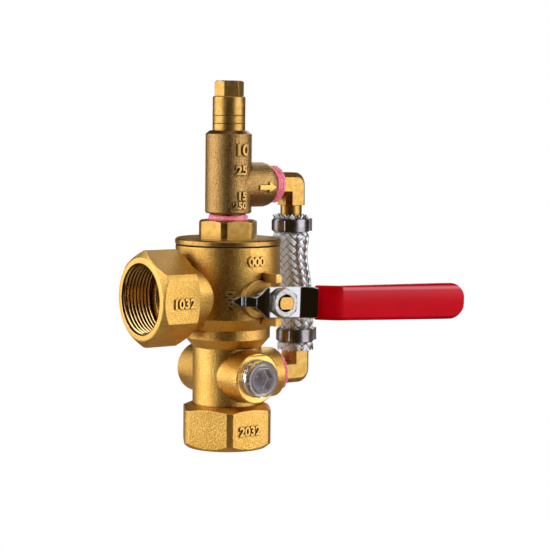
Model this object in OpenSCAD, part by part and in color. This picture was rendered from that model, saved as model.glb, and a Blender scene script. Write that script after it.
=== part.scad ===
// Test and drain valve for a sprinkler riser: a three way ball valve with two
// sight glasses, and a pressure relief valve piped past the ball by a braided hose.
// Millimetres. +Z is up, the lever faces -Y, the test port faces -X and the
// hose hangs on the +X side. The origin is the centre of the drain port's mouth.

/* [Ports] */
// Width across the flats of the test and drain port hexagons
port_hex_af = 50.8; // [50:0.1:52]
// Radius to which the corners of those hexagons are turned
port_corner_r = 28.3; // [27.6:0.1:28.8]
// Bore at the roots of the 1 1/4 inch pipe thread, as a radius
port_bore_r = 21; // [20.4:0.1:21.4]
// Depth of the threaded bore
port_depth = 20; // [18:0.5:21]
// Height of the drain port hexagon
drain_hex_h = 25.9; // [25:0.1:27]
// Length of the test port hexagon
test_hex_l = 25.3; // [24:0.1:26]
// Distance from the valve's axis to the mouth of the test port
test_reach = 61; // [60:0.5:62]

/* [Body] */
// Radius of the chamber that holds the ball
chamber_r = 31.2; // [30.8:0.1:32]
// Height of the chamber's flat top
chamber_top = 121.2; // [120:0.1:122]
// Radius of the neck under the chamber
neck_r = 20.6; // [20.2:0.1:21]
// Radius of the round neck behind the test port hexagon
test_neck_r = 20.5; // [20:0.1:20.8]
// Height of the centre of the ball, the stem and the test port
stem_z = 91; // [90.4:0.1:91.6]
// Height of the two sight glass bosses on the neck
boss_z = 44.3; // [43.5:0.1:45]
// How much lower the boss on the hose side sits
side_drop = 2; // [0:0.1:2.4]
// Radius of the three bosses at their faces
boss_r = 15; // [14.4:0.1:15.2]
// Distance from the axis to the face of a boss
boss_reach = 32; // [31:0.5:33]

/* [Ball and seats] */
// Radius of the ball
ball_r = 21.5; // [21.2:0.1:21.8]
// Radius of the passage that turns a corner inside the ball
ball_bore_r = 11.2; // [10.5:0.1:11.4]
// Radius of the hole that meters the test flow
orifice_r = 5.5; // [4:0.1:6]

/* [Stem and lever] */
// Radius of the stem
stem_r = 5; // [4.8:0.1:5.2]
// Thickness of the lever's steel strap
strap_t = 2.8; // [2.5:0.1:3]
// Width of the strap at the stem
strap_w = 18.2; // [17.5:0.1:19]
// Distance from the stem's axis to the end of the grip
grip_reach = 131; // [110:1:145]
// Thickness of the dipped grip
grip_t = 6.2; // [5.4:0.1:7]
// Lever's turn at rest from its level place, grip end down
lever_rest = 2; // [0:0.5:5]

/* [Relief valve] */
// Radius of the relief valve's body
relief_r = 13.8; // [13.3:0.05:14]
// Height of the flat top of the relief valve's body
relief_top = 188.6; // [188:0.1:190]
// Height of the axis of its outlet
outlet_z = 156.3; // [155.6:0.1:157]
// Radius of the adjusting cap
cap_r = 9.75; // [9.5:0.05:9.8]
// Height of the top of the adjusting cap
cap_top = 218; // [217:0.5:220]
// Radius of the relief spring's wire
wire_r = 1.1; // [0.9:0.1:1.2]

/* [Hose] */
// Outer radius of the braid halfway along the hose
braid_r = 10.1; // [9.8:0.05:10.4]
// Outer radius of the braid where it swells above and below a clamp
swell_r = 11; // [10.8:0.1:11.2]
// Width across the flats of the elbow's bar
elbow_af = 14.4; // [14:0.1:15]

/* [Fits] */
// Running clearance between a shaft and its bore, on the radius
run_gap = 0.05; // [0.03:0.01:0.1]
// Gap between two curved faces that move past each other
face_gap = 0.3; // [0.25:0.05:0.4]

/* [Hidden] */
$fn = 72;

cast_brass = "#c79a45";
turned_brass = "#d8ab55";
relief_brass = "#94703a";
steel = "#b9bcc0";
sealant_pink = "#e58a96";
white_seal = "#efece4";
black_rubber = "#26272a";

// A cut runs this far past the face it opens
over = 1;
// Seat ring: bore, outside, and distance from the ball's centre to its back
seat_bore_r = ball_bore_r + 0.4;
seat_r = 15.2;
seat_back = ball_r + 1.5;
cavity_r = ball_r + 1.1;
cavity_floor = stem_z - 16.5;
passage_r = seat_bore_r + 0.8;

// Heights of the neck's top, the flare's waist and the chamber's foot
neck_top = stem_z - 30.7;
waist_z = [stem_z - 25.1, stem_z - 19.3];
waist_r = 25.5;
chamber_foot = stem_z - 12.5;

// End cap, from the skirt up
cap_thread_r = chamber_r - 3.7;
cap_skirt_z = stem_z + 16;
gasket_t = 0.5;
disc_z = chamber_top + gasket_t;
disc_top = disc_z + 3.3;
disc_r = chamber_r + 0.3;
cap_hex_top = disc_top + 10.6;
cap_hex_af = 32.8;
cap_hex_corner_r = 17.9;
cap_hex_turn = 48;
// Male pipe thread of the relief valve, and how far it goes into the end cap
inlet_r = 10.2;
inlet_l = 12.8;
paste_t = 2.6;
inlet_gap = 4.05;

// Bypass threads in the relief outlet and in the side boss
bypass_r = 8.5;
bypass_depth = 12;
side_z = boss_z - side_drop;
side_reach = boss_reach + 1;
plug_r = boss_r - 4;
plug_depth = 12;
plug_face = boss_reach + 6.5;
socket_af = 13;
// A boss widens by this much for each millimetre towards the neck
boss_draft = 0.05;

// Stem, from the ball outwards
tongue = [10, 5];
tongue_in = ball_r - 3.7;
flange_r = 8;
flange_in = ball_r + 1.5;
flange_t = 2.6;
washer_t = 1;
web_y = flange_in + flange_t + washer_t;
packing_r = 7;
packing_in = web_y + 1.7;
packing_t = 3.2;
pad_r = 11;
pad_reach = chamber_r + 2.3;
plate_in = pad_reach + 18.5;
plate_mid = plate_in + strap_t / 2;
washer_out = plate_in + strap_t + 0.9;
nut_out = washer_out + 4;
nut_af = 15.8;
stem_reach = nut_out + 0.8;
flat_half = 0.7 * stem_r;

// Stop posts, beside the stem boss, and the pointer that meets them
pointer_w = 6;
post_x = [pointer_w / 2 + 0.4, pointer_w / 2 + 4.5];
post_z = [10, 15.2];
post_reach = pad_reach + 11.5;
pointer_tip = 27;
pointer_mid = post_reach - 1.1;
grip_mid = plate_mid + 10.6;
grip_from = 22.6;
grip_r = 10.9;
bend_x = [13.6, 33];
bend_r = 4;

// Relief valve, from its foot up
relief_bottom = cap_hex_top + inlet_gap;
outlet_r = 13.3;
outlet_reach = relief_r + 14.8;
seat_z = outlet_z - 7.2;
spring_floor = seat_z - 1.6;
poppet_top = seat_z + 5.4;
spring_bore_r = cap_r + 0.25;
seal_r = 8;
seal_t = 2.6;
button_z = [relief_top - 8.8, relief_top - 5.8];
pilot_r = 5.2;
spring_turns = 7;
spring_mean_r = pilot_r + wire_r + 0.3;
oring_z = relief_top - 2.9;
cap_hex_z = cap_top - 9.3;
cap_hex_across = 15.2;

// Elbows and hose
upper_ring = [10.7, 6];
lower_ring = [13.6, 3.3];
upper_leg_out = 17.6;
lower_leg_out = 17.4;
upper_leg_x = outlet_reach + upper_leg_out;
lower_leg_x = side_reach + lower_leg_out;
upper_drop = 12.8;
lower_drop = 12.6;
corner_r = 8;
barb_r = 6.5;
barb_l = 23;
tube_in_r = barb_r + 0.2;
braid_t = 1;
hose_z = [side_z + lower_drop + 0.4, outlet_z - upper_drop - 6.4];
clamp_h = 7.6;
clamp_t = 0.9;
clamp_r = swell_r - 0.9;
upper_clamp_z = hose_z[1] - 5.8;
lower_clamp_z = hose_z[0] + 8.7;
// The hose stands upright this far into each end, and leans and bows between
hose_upright = 22;
hose_bow = 1.2;
hose_rings = 16;
hose_sides = 24;

// A child's +Z turned to face the front, the rear, the test side or the hose side
module front(z) { translate([0, 0, z]) rotate([90, 0, 0]) children(); }
module rear(z) { translate([0, 0, z]) rotate([-90, 0, 0]) children(); }
module test_side(z) { translate([0, 0, z]) rotate([0, -90, 0]) children(); }
module hose_side(z) { translate([0, 0, z]) rotate([0, 90, 0]) children(); }

// What turns with the stem, drawn about the stem's axis with the lever level
module turned() { translate([0, 0, stem_z]) rotate([0, lever_rest, 0]) children(); }

module rod(r, from, to) { translate([0, 0, from]) cylinder(r = r, h = to - from); }

module hexagon(af, from, to) {
    translate([0, 0, from]) cylinder(r = af / 2 / cos(30), h = to - from, $fn = 6);
}

module ring(r_out, r_in, from, to) {
    difference() {
        rod(r_out, from, to);
        rod(r_in, from - over, to + over);
    }
}

// A turned blank with a slope cut at each end
module blank(r, slope, run, length) {
    rotate_extrude()
        polygon([[0, 0], [r - slope, 0], [r, run], [r, length - run],
                 [r - slope, length], [0, length]]);
}

// A hexagon with turned corners, its mouth at 0 and both its ends sloped; back is
// how far the slope behind it comes in and how far it runs along
module port_hex(length, back) {
    intersection() {
        hexagon(port_hex_af, -over, length + over);
        rotate_extrude()
            polygon([[0, 0], [port_corner_r - 4.3, 0], [port_corner_r, 3.4],
                     [port_corner_r, length - back[1]], [port_corner_r - back[0], length],
                     [0, length]]);
    }
}

// Threaded bore with its mouth at 0, and the passage behind it
module port_bore(passage_to) {
    rotate_extrude()
        polygon([[0, -over], [port_bore_r, -over],
                 [port_bore_r, port_depth], [passage_r + 3.4, port_depth],
                 [passage_r, port_depth + 4], [passage_r, passage_to], [0, passage_to]]);
}

// Outline of the turned and cast middle: neck, flare, chamber
module body_middle() {
    rotate_extrude()
        polygon([[0, drain_hex_h - 3], [neck_r, drain_hex_h - 3], [neck_r, neck_top],
                 [waist_r, waist_z[0]], [waist_r, waist_z[1]],
                 [chamber_r, chamber_foot], [chamber_r, chamber_top - 0.6],
                 [chamber_r - 0.6, chamber_top], [0, chamber_top]]);
}

// A boss with the casting's draft on its side
module boss(reach) {
    rotate_extrude()
        polygon([[0, 0], [boss_r + reach * boss_draft, 0], [boss_r, reach - 0.6],
                 [boss_r - 0.6, reach], [0, reach]]);
}

// Two cast posts that the pointer stops against, each with its outer corners cut
module stop_posts() {
    cut = 1.2;
    for (side = [-1, 1])
        translate([0, 0, stem_z]) rotate([90, 0, 0])
            translate([0, 0, chamber_r - 4])
                linear_extrude(post_reach - chamber_r + 4)
                    polygon([[post_x[0], side * post_z[0]], [post_x[1], side * post_z[0]],
                             [post_x[1], side * (post_z[1] - cut)],
                             [post_x[1] - cut, side * post_z[1]], [post_x[0], side * post_z[1]]]);
}

module valve_body() {
    color(cast_brass)
    difference() {
        union() {
            port_hex(drain_hex_h, [6.3, 2.8]);
            body_middle();
            test_side(stem_z) {
                translate([0, 0, test_reach]) rotate([180, 0, 0]) port_hex(test_hex_l, [3.4, 2.1]);
                rod(test_neck_r, 0, test_reach - test_hex_l + over);
            }
            front(boss_z) boss(boss_reach);
            rear(boss_z) boss(boss_reach);
            hose_side(side_z) boss(side_reach);
            front(stem_z) rod(pad_r, 0, pad_reach);
            stop_posts();
        }
        port_bore(stem_z);
        test_side(stem_z)
            translate([0, 0, test_reach]) rotate([180, 0, 0]) port_bore(test_reach);
        // Ball cavity, open at the top for the end cap
        rod(cavity_r, cavity_floor, chamber_top);
        rod(cap_thread_r + run_gap, cap_skirt_z - 0.2, chamber_top + over);
        rod(seat_r + run_gap, stem_z - seat_back, stem_z);
        test_side(stem_z) rod(seat_r + run_gap, 0, seat_back);
        // Stem: flange pocket, bearing web and packing box
        front(stem_z) {
            rod(flange_r + 0.2, 0, web_y);
            rod(stem_r + run_gap, 0, pad_reach);
            rod(packing_r + run_gap, packing_in, pad_reach + over);
        }
        // Sight glass and bypass openings in the neck
        front(boss_z) plug_bore();
        rear(boss_z) plug_bore();
        hose_side(side_z) {
            rod(bypass_r + run_gap, side_reach - bypass_depth, side_reach + over);
            rod(5, 0, side_reach);
        }
    }
}

module plug_bore() {
    rod(plug_r + run_gap, boss_reach - plug_depth, boss_reach + over);
    rod(8.5, 0, boss_reach);
}

module end_cap() {
    color(turned_brass)
    difference() {
        union() {
            rod(cap_thread_r, cap_skirt_z, disc_z + over);
            translate([0, 0, disc_z])
                rotate_extrude()
                    polygon([[0, 0], [disc_r, 0], [disc_r, disc_top - disc_z - 1],
                             [disc_r - 1, disc_top - disc_z], [0, disc_top - disc_z]]);
            intersection() {
                rotate([0, 0, cap_hex_turn]) hexagon(cap_hex_af, disc_top - over, cap_hex_top);
                translate([0, 0, disc_top - 3])
                    rotate_extrude()
                        polygon([[0, 0], [cap_hex_corner_r, 0],
                                 [cap_hex_corner_r, cap_hex_top - disc_top + 2.1],
                                 [cap_hex_corner_r - 1.7, cap_hex_top - disc_top + 3],
                                 [0, cap_hex_top - disc_top + 3]]);
            }
        }
        rod(seat_r + run_gap, cap_skirt_z - over, stem_z + seat_back);
        rod(seat_bore_r, stem_z + seat_back - over, cap_hex_top - inlet_l - 1.5);
        rod(6, cap_hex_top - inlet_l - 2, cap_hex_top);
        rod(inlet_r + run_gap, cap_hex_top - inlet_l - 0.2, cap_hex_top + over);
    }
}

module end_cap_seal() {
    color(black_rubber) ring(chamber_r - 0.8, cap_thread_r + 0.3, chamber_top, disc_z);
}

module ball() {
    color(steel)
    turned()
    difference() {
        sphere(r = ball_r);
        rotate([0, -90, 0]) rod(ball_bore_r, 0, ball_r + over);
        rod(ball_bore_r, -ball_r - over, 0);
        sphere(r = ball_bore_r + 0.8);
        // Seat of the orifice plate, which faces the test port in the test position
        rod(orifice_r + 1.2, 0, ball_r);
        rod(8 + run_gap, 15.5, ball_r + over);
        // Slot for the stem's tongue
        translate([-ball_r, -ball_r - over, -tongue[1] / 2 - 0.1])
            cube([2 * ball_r, over + ball_r - tongue_in + 0.3, tongue[1] + 0.2]);
    }
}

module test_orifice() {
    color(turned_brass)
    turned()
    difference() {
        rod(8, 15.5, 19);
        rod(orifice_r, 15, 18);
        translate([0, 0, 17.5]) cylinder(r1 = orifice_r, r2 = orifice_r + 2.2, h = 2.2);
    }
}

// One seat ring with its dished face around the ball, its back towards +Z
module seat_ring() {
    difference() {
        ring(seat_r, seat_bore_r, 12.5, seat_back);
        sphere(r = ball_r + face_gap);
    }
}

module seat_test_side() { color(white_seal) test_side(stem_z) seat_ring(); }
module seat_drain_side() {
    color(white_seal) translate([0, 0, stem_z]) rotate([180, 0, 0]) seat_ring();
}
module seat_top() { color(white_seal) translate([0, 0, stem_z]) seat_ring(); }

module stem() {
    color(turned_brass)
    turned() {
        difference() {
            rotate([90, 0, 0]) {
                rod(stem_r, flange_in, stem_reach);
                rod(flange_r, flange_in, flange_in + flange_t);
                translate([-tongue[0] / 2, -tongue[1] / 2, tongue_in])
                    cube([tongue[0], tongue[1], flange_in - tongue_in + over]);
            }
            for (side = [-1, 1])
                translate([-stem_r - over, -stem_reach - over, side > 0 ? flat_half : -flat_half - 4])
                    cube([2 * stem_r + 2 * over, stem_reach + over - plate_in, 4]);
        }
    }
}

module thrust_washer() {
    color(white_seal)
    front(stem_z) ring(flange_r, stem_r + run_gap, flange_in + flange_t, web_y);
}

module stem_packing() {
    color(white_seal)
    front(stem_z) ring(packing_r, stem_r + run_gap, packing_in, packing_in + packing_t);
}

// Ring screwed in flush with the stem boss, with a slot to turn it by
module gland_nut() {
    color(turned_brass)
    front(stem_z)
    difference() {
        rod(packing_r, packing_in + packing_t, pad_reach);
        rod(stem_r + run_gap, packing_in, pad_reach + over);
        translate([-packing_r - over, -1.3, pad_reach - 1.2])
            cube([2 * packing_r + 2 * over, 2.6, 1.2 + over]);
    }
}

// Points of a path moved sideways by d, with mitred corners
function unit(v) = v / norm(v);
function left(v) = [-v[1], v[0]];
function aside(path, d) = [
    for (i = [0 : len(path) - 1])
        let (a = left(unit(path[max(i, 1)] - path[max(i, 1) - 1])),
             b = left(unit(path[min(i, len(path) - 2) + 1] - path[min(i, len(path) - 2)])))
        path[i] + d * (a + b) / (1 + a * b)
];

// The path with each inner corner bent to a radius, as steps along its arc
function bent(path, r, steps = 4) = concat([path[0]], [
    for (i = [1 : len(path) - 2])
        let (p = path[i], u = unit(path[i - 1] - p), v = unit(path[i + 1] - p),
             half = acos(u * v) / 2, back = r / tan(half),
             centre = p + unit(u + v) * r / sin(half))
        for (k = [0 : steps])
            let (q = u * (1 - k / steps) + v * k / steps, m = p + q * back)
            centre + unit(m - centre) * r
], [path[len(path) - 1]]);

// A strip of even thickness along a path in the XY plane, and h tall about Z = 0
module strip(path, thick, h) {
    translate([0, 0, -h / 2])
        linear_extrude(h)
            polygon(concat(aside(path, thick / 2),
                           [for (i = [len(path) - 1 : -1 : 0]) aside(path, -thick / 2)[i]]));
}

// Front outline with a half round end at +X, cut through all depths
module outline_cut(points, end_x, end_r) {
    rotate([90, 0, 0]) {
        linear_extrude(90)
            polygon(concat(points, [for (i = [len(points) - 1 : -1 : 0])
                                    [points[i][0], -points[i][1]]]));
        translate([end_x - end_r, 0, 0]) cylinder(r = end_r, h = 90);
    }
}

strap_path = concat(bent([[-pointer_tip, -pointer_mid], [-17.2, -pointer_mid],
                          [-13.2, -plate_mid], [bend_x[0] - 5, -plate_mid]], 2.2),
                    bent([[bend_x[0] - 4, -plate_mid], [bend_x[0], -plate_mid],
                          [bend_x[1], -grip_mid], [grip_reach - 3, -grip_mid]], bend_r));
grip_slope = (grip_mid - plate_mid) / (bend_x[1] - bend_x[0]);
grip_path = bent([[grip_from, -plate_mid - (grip_from - bend_x[0]) * grip_slope],
                  [bend_x[1], -grip_mid], [grip_reach, -grip_mid]], bend_r);

module strap() {
    tang_r = 8.3;
    intersection() {
        strip(strap_path, strap_t, strap_w);
        outline_cut([[-pointer_tip - 0.2, 0.1], [-pointer_tip + 5.6, pointer_w / 2],
                     [-15.6, pointer_w / 2], [-9.4, strap_w / 2], [20, strap_w / 2],
                     [24, tang_r], [grip_reach - 3 - tang_r, tang_r]],
                    grip_reach - 3, tang_r);
    }
}

module lever() {
    color(steel)
    turned()
    difference() {
        strap();
        intersection() {
            rotate([90, 0, 0]) rod(stem_r + run_gap, plate_in - over, plate_in + strap_t + over);
            translate([-stem_r - over, -plate_in - strap_t - over, -flat_half - run_gap])
                cube([2 * stem_r + 2 * over, strap_t + 2 * over, 2 * (flat_half + run_gap)]);
        }
    }
}

module lever_grip() {
    color("#c8141c")
    turned()
    difference() {
        intersection() {
            strip(grip_path, grip_t, 2 * grip_r);
            outline_cut([[grip_from - 4, 9.9], [grip_reach - grip_r, grip_r]], grip_reach, grip_r);
        }
        strap();
    }
}

module stem_washer() {
    color(steel)
    turned() rotate([90, 0, 0]) ring(8.2, stem_r + 0.1, plate_in + strap_t, washer_out);
}

module stem_nut() {
    color(steel)
    turned()
    rotate([90, 0, 0])
    difference() {
        intersection() {
            rotate([0, 0, 30]) hexagon(nut_af, washer_out, nut_out);
            translate([0, 0, washer_out]) blank(9, 1.2, 0.7, nut_out - washer_out);
        }
        rod(stem_r + run_gap, washer_out - over, nut_out + over);
    }
}

// Clear threaded plug with a hexagon socket, its face towards +Z
module sight_plug() {
    difference() {
        rotate_extrude()
            polygon([[0, boss_reach - plug_depth], [plug_r, boss_reach - plug_depth],
                     [plug_r, plug_face - 0.7], [plug_r - 0.7, plug_face], [0, plug_face]]);
        hexagon(socket_af, plug_face - 7, plug_face + over);
        rod(7.4, boss_reach - plug_depth - over, boss_reach - plug_depth + 5);
    }
}

module sight_plug_front() { color([0.86, 0.9, 0.94, 0.55]) front(boss_z) sight_plug(); }
module sight_plug_rear() { color([0.86, 0.9, 0.94, 0.55]) rear(boss_z) sight_plug(); }

module relief_body() {
    color(relief_brass)
    difference() {
        union() {
            rotate_extrude()
                polygon([[0, relief_bottom], [relief_r - 0.8, relief_bottom],
                         [relief_r, relief_bottom + 0.8], [relief_r, relief_top - 2],
                         [relief_r - 2.4, relief_top], [0, relief_top]]);
            rod(inlet_r, cap_hex_top - inlet_l, relief_bottom + over);
            hose_side(outlet_z)
                rotate_extrude()
                    polygon([[0, 0], [outlet_r, 0], [outlet_r, outlet_reach - 4.6],
                             [outlet_r - 0.5, outlet_reach - 2.6],
                             [outlet_r - 1.4, outlet_reach - 1],
                             [outlet_r - 2.5, outlet_reach], [0, outlet_reach]]);
        }
        // Inlet, seat and spring chamber
        rod(6, cap_hex_top - inlet_l - over, seat_z);
        difference() {
            rod(spring_bore_r, spring_floor, relief_top + over);
            rod(7.2, spring_floor - over, seat_z);
        }
        hose_side(outlet_z) {
            rod(6, 0, outlet_reach);
            rod(bypass_r + run_gap, outlet_reach - bypass_depth, outlet_reach + over);
        }
    }
}

module relief_poppet() {
    color(turned_brass)
    difference() {
        union() {
            rod(spring_bore_r - face_gap, seat_z + 1, poppet_top);
            rod(pilot_r, poppet_top - over, poppet_top + 4);
        }
        rod(seal_r + run_gap, seat_z, seat_z + seal_t);
        // Three flats let the water past
        for (turn = [60, 180, 300])
            rotate([0, 0, turn]) translate([8.5, -10, seat_z]) cube([5, 20, 8]);
    }
}

module poppet_seal() {
    color(black_rubber) rod(seal_r, seat_z, seat_z + seal_t);
}

// Coil between the poppet's shoulder and the button, swept as one closed tube
module relief_spring() {
    sides = 8;
    steps = 22;
    from = poppet_top + wire_r;
    to = button_z[0] - wire_r;
    rings = spring_turns * steps;
    // Closed end coils: the climb is flat in the first and last turn
    function climb(i) = min(max((i / steps - 1) / (spring_turns - 2), 0), 1);
    function level(i) = from + min(i / steps, 1) * 2 * wire_r
                      + climb(i) * (to - from - 4 * wire_r)
                      + min(max(i / steps - spring_turns + 1, 0), 1) * 2 * wire_r;
    function point(i, k) =
        let (a = 360 * i / steps, b = 360 * k / sides, r = spring_mean_r + wire_r * cos(b))
        [r * cos(a), r * sin(a), level(i) + wire_r * sin(b)];
    color(steel)
    polyhedron(
        points = [for (i = [0 : rings]) for (k = [0 : sides - 1]) point(i, k)],
        faces = concat(
            [[for (k = [0 : sides - 1]) k]],
            [for (i = [0 : rings - 1]) for (k = [0 : sides - 1])
                let (n = (k + 1) % sides)
                [i * sides + n, i * sides + k, (i + 1) * sides + k, (i + 1) * sides + n]],
            [[for (k = [sides - 1 : -1 : 0]) rings * sides + k]]));
}

module spring_button() {
    color(turned_brass)
    difference() {
        union() {
            rod(spring_bore_r - face_gap, button_z[0], button_z[1]);
            rod(pilot_r, button_z[0] - 3, button_z[0] + over);
        }
        rod(2, button_z[0] - 4, button_z[1] + over);
    }
}

module adjusting_cap() {
    color(relief_brass)
    difference() {
        union() {
            rotate_extrude()
                polygon([[0, button_z[1]], [cap_r, button_z[1]], [cap_r, cap_hex_z - 0.5],
                         [cap_r - 0.5, cap_hex_z], [0, cap_hex_z]]);
            intersection() {
                rotate([0, 0, 36]) hexagon(cap_hex_across, cap_hex_z - over, cap_top);
                translate([0, 0, cap_hex_z - 3])
                    rotate_extrude()
                        polygon([[0, 0], [9, 0], [9, cap_top - cap_hex_z + 2],
                                 [7.4, cap_top - cap_hex_z + 3], [0, cap_top - cap_hex_z + 3]]);
            }
        }
        rod(6, button_z[1] + 2.5, cap_hex_z - 3);
        // Groove of the O-ring
        ring(cap_r + over, cap_r - 1.3, oring_z - 0.9, oring_z + 0.9);
    }
}

module cap_oring() {
    color(black_rubber)
    rotate_extrude() translate([cap_r - 0.55, oring_z]) circle(r = 0.75, $fn = 24);
}

// A bead of sealant at a face on the hose side, as wide and as thick as its ring says
module sealant(z, face_x, size) {
    color(sealant_pink)
    hose_side(z)
        rotate_extrude()
            polygon([[bypass_r, face_x], [size[0] - 0.3, face_x], [size[0], face_x + 0.9],
                     [size[0] - 0.1, face_x + size[1] - 1.1], [size[0] - 0.9, face_x + size[1]],
                     [bypass_r, face_x + size[1]]]);
}

module inlet_sealant() {
    color(sealant_pink)
    rotate_extrude()
        polygon([[inlet_r, cap_hex_top], [11.4, cap_hex_top], [11.6, cap_hex_top + 1],
                 [11, cap_hex_top + paste_t], [inlet_r, cap_hex_top + paste_t]]);
}

module upper_sealant() { sealant(outlet_z, outlet_reach, upper_ring); }
module lower_sealant() { sealant(side_z, side_reach, lower_ring); }

// Square bar of the elbows with its edges broken, along +Z
bar_half = elbow_af / 2;
bar_cut = 3;
module bar(from, to) {
    translate([0, 0, from])
        linear_extrude(to - from)
            polygon([[bar_half, -bar_half + bar_cut], [bar_half, bar_half - bar_cut],
                     [bar_half - bar_cut, bar_half], [-bar_half + bar_cut, bar_half],
                     [-bar_half, bar_half - bar_cut], [-bar_half, -bar_half + bar_cut],
                     [-bar_half + bar_cut, -bar_half], [bar_half - bar_cut, -bar_half]]);
}

// Outer corner of the elbow: the bar's outer edge turned about an axis along Y
module bar_corner() {
    rotate([90, 0, 0])
        rotate_extrude(angle = 90)
            polygon([[0, -bar_half], [corner_r - bar_cut, -bar_half],
                     [corner_r, -bar_half + bar_cut], [corner_r, bar_half - bar_cut],
                     [corner_r - bar_cut, bar_half], [0, bar_half]]);
}

// Threaded stub along +X from the face at face_x, a square elbow whose leg drops
// at leg_x, and a hose barb below it; the axis of the stub is Z = 0, and the bar
// starts where the bead of sealant ends
module elbow(face_x, bar_x, leg_x, drop) {
    barb_end = drop + barb_l;
    pivot = bar_half - corner_r;
    difference() {
        union() {
            hose_side(0) {
                rod(bypass_r, face_x - bypass_depth + 0.5, bar_x);
                bar(bar_x, leg_x + pivot);
            }
            translate([leg_x + pivot, 0, pivot]) bar_corner();
            translate([leg_x, 0, 0]) {
                bar(-drop, pivot);
                rod(barb_r - 0.4, -barb_end, -drop);
                for (i = [0 : 2])
                    translate([0, 0, -barb_end + 5 * i])
                        cylinder(r1 = barb_r - 1.2, r2 = barb_r, h = 3.6);
                rod(barb_r, -barb_end + 15, -drop);
            }
        }
        hose_side(0) rod(4, face_x - bypass_depth - over, leg_x + 3.5);
        translate([leg_x, 0, 0]) rod(4.1, -barb_end - over, 3.5);
    }
}

module upper_elbow() {
    color(turned_brass)
    translate([0, 0, outlet_z])
        elbow(outlet_reach, outlet_reach + upper_ring[1], upper_leg_x, upper_drop);
}

module lower_elbow() {
    color(turned_brass)
    translate([0, 0, side_z]) mirror([0, 0, 1])
        elbow(side_reach, side_reach + lower_ring[1], lower_leg_x, lower_drop);
}

// The hose's centre at height z: upright at both ends, leaning and bowed between
function ease(t) = t * t * (3 - 2 * t);
function along(z) =
    min(max((z - hose_z[0] - hose_upright) / (hose_z[1] - hose_z[0] - 2 * hose_upright), 0), 1);
function hose_x(z) = lower_leg_x + (upper_leg_x - lower_leg_x) * ease(along(z))
    + hose_bow * (1 - cos(360 * along(z))) / 2;
// Radius of the braid: pinched at each clamp, swollen beside it, slim between
function near_clamp(z) = min(abs(z - upper_clamp_z), abs(z - lower_clamp_z));
function hose_r(z) = near_clamp(z) < clamp_h / 2 + 0.6 ? clamp_r
    : (z > upper_clamp_z || z < lower_clamp_z) ? swell_r
    : braid_r + (swell_r - braid_r) * exp(-pow((near_clamp(z) - 7) / 7, 2));

// A tube along the hose between two radii measured inwards from the braid
module hose_sleeve(in_outer, r_in) {
    // Rings at both edges of each clamp, and even ones between the clamps
    pinch = clamp_h / 2 + 0.4;
    edge = [-pinch - 1.2, -pinch, pinch, pinch + 1.2];
    free = [lower_clamp_z + edge[3], upper_clamp_z + edge[0]];
    levels = concat([hose_z[0]], [for (e = edge) lower_clamp_z + e],
                    [for (i = [1 : hose_rings - 1]) free[0] + (free[1] - free[0]) * i / hose_rings],
                    [for (e = edge) upper_clamp_z + e], [hose_z[1]]);
    count = len(levels);
    function circle_at(z, r) = [for (k = [0 : hose_sides - 1])
        [hose_x(z) + r * cos(360 * k / hose_sides), r * sin(360 * k / hose_sides), z]];
    outer = [for (z = levels) each circle_at(z, hose_r(z) - in_outer)];
    inner = [for (z = levels) each circle_at(z, is_undef(r_in) ? hose_r(z) - braid_t : r_in)];
    function quads(base, out) = [for (i = [0 : count - 2]) for (k = [0 : hose_sides - 1])
        let (n = (k + 1) % hose_sides, a = base + i * hose_sides, b = a + hose_sides)
        out ? [a + k, b + k, b + n, a + n] : [a + k, a + n, b + n, b + k]];
    function lid(i, up) = [for (k = [0 : hose_sides - 1])
        let (n = (k + 1) % hose_sides, a = i * hose_sides, b = a + count * hose_sides)
        up ? [a + k, b + k, b + n, a + n] : [a + k, a + n, b + n, b + k]];
    polyhedron(points = concat(outer, inner),
               faces = concat(quads(0, true), quads(count * hose_sides, false),
                              lid(0, false), lid(count - 1, true)));
}

module hose_tube() { color(black_rubber) hose_sleeve(braid_t, tube_in_r); }
module hose_braid() { color("#aeb2b6") hose_sleeve(0); }

// Ear clamp: a band, its pinched ear at +X, and the hooked lap of the strip at -X
module clamp(z, x) {
    out = clamp_r + clamp_t + 0.1;
    ear = bent([[out - 0.5, -4.2], [out + 0.4, -2.2], [out + 2.8, -2.7], [out + 2.8, 2.7],
                [out + 0.4, 2.2], [out - 0.5, 4.2]], 0.5, 3);
    color(steel)
    translate([x, 0, z])
    difference() {
        union() {
            rod(out, -clamp_h / 2, clamp_h / 2);
            strip(ear, 0.8, clamp_h);
            intersection() {
                ring(out + 0.7, out - 0.3, -clamp_h / 2 + 0.7, clamp_h / 2 - 0.7);
                translate([-out - 2, -6.5, -clamp_h]) cube([9, 13, 2 * clamp_h]);
            }
        }
        rod(clamp_r + 0.1, -clamp_h, clamp_h);
        for (side = [-1, 1])
            translate([-out - 2, side * 3.6 - 1.1, -1.3]) cube([1.6, 2.2, 2.6]);
    }
}

module upper_clamp() { clamp(upper_clamp_z, upper_leg_x); }
module lower_clamp() { clamp(lower_clamp_z, lower_leg_x); }

valve_body();
end_cap();
end_cap_seal();
ball();
test_orifice();
seat_test_side();
seat_drain_side();
seat_top();
stem();
thrust_washer();
stem_packing();
gland_nut();
lever();
lever_grip();
stem_washer();
stem_nut();
sight_plug_front();
sight_plug_rear();
relief_body();
relief_poppet();
poppet_seal();
relief_spring();
spring_button();
adjusting_cap();
cap_oring();
inlet_sealant();
upper_sealant();
lower_sealant();
upper_elbow();
lower_elbow();
hose_tube();
hose_braid();
upper_clamp();
lower_clamp();
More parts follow.
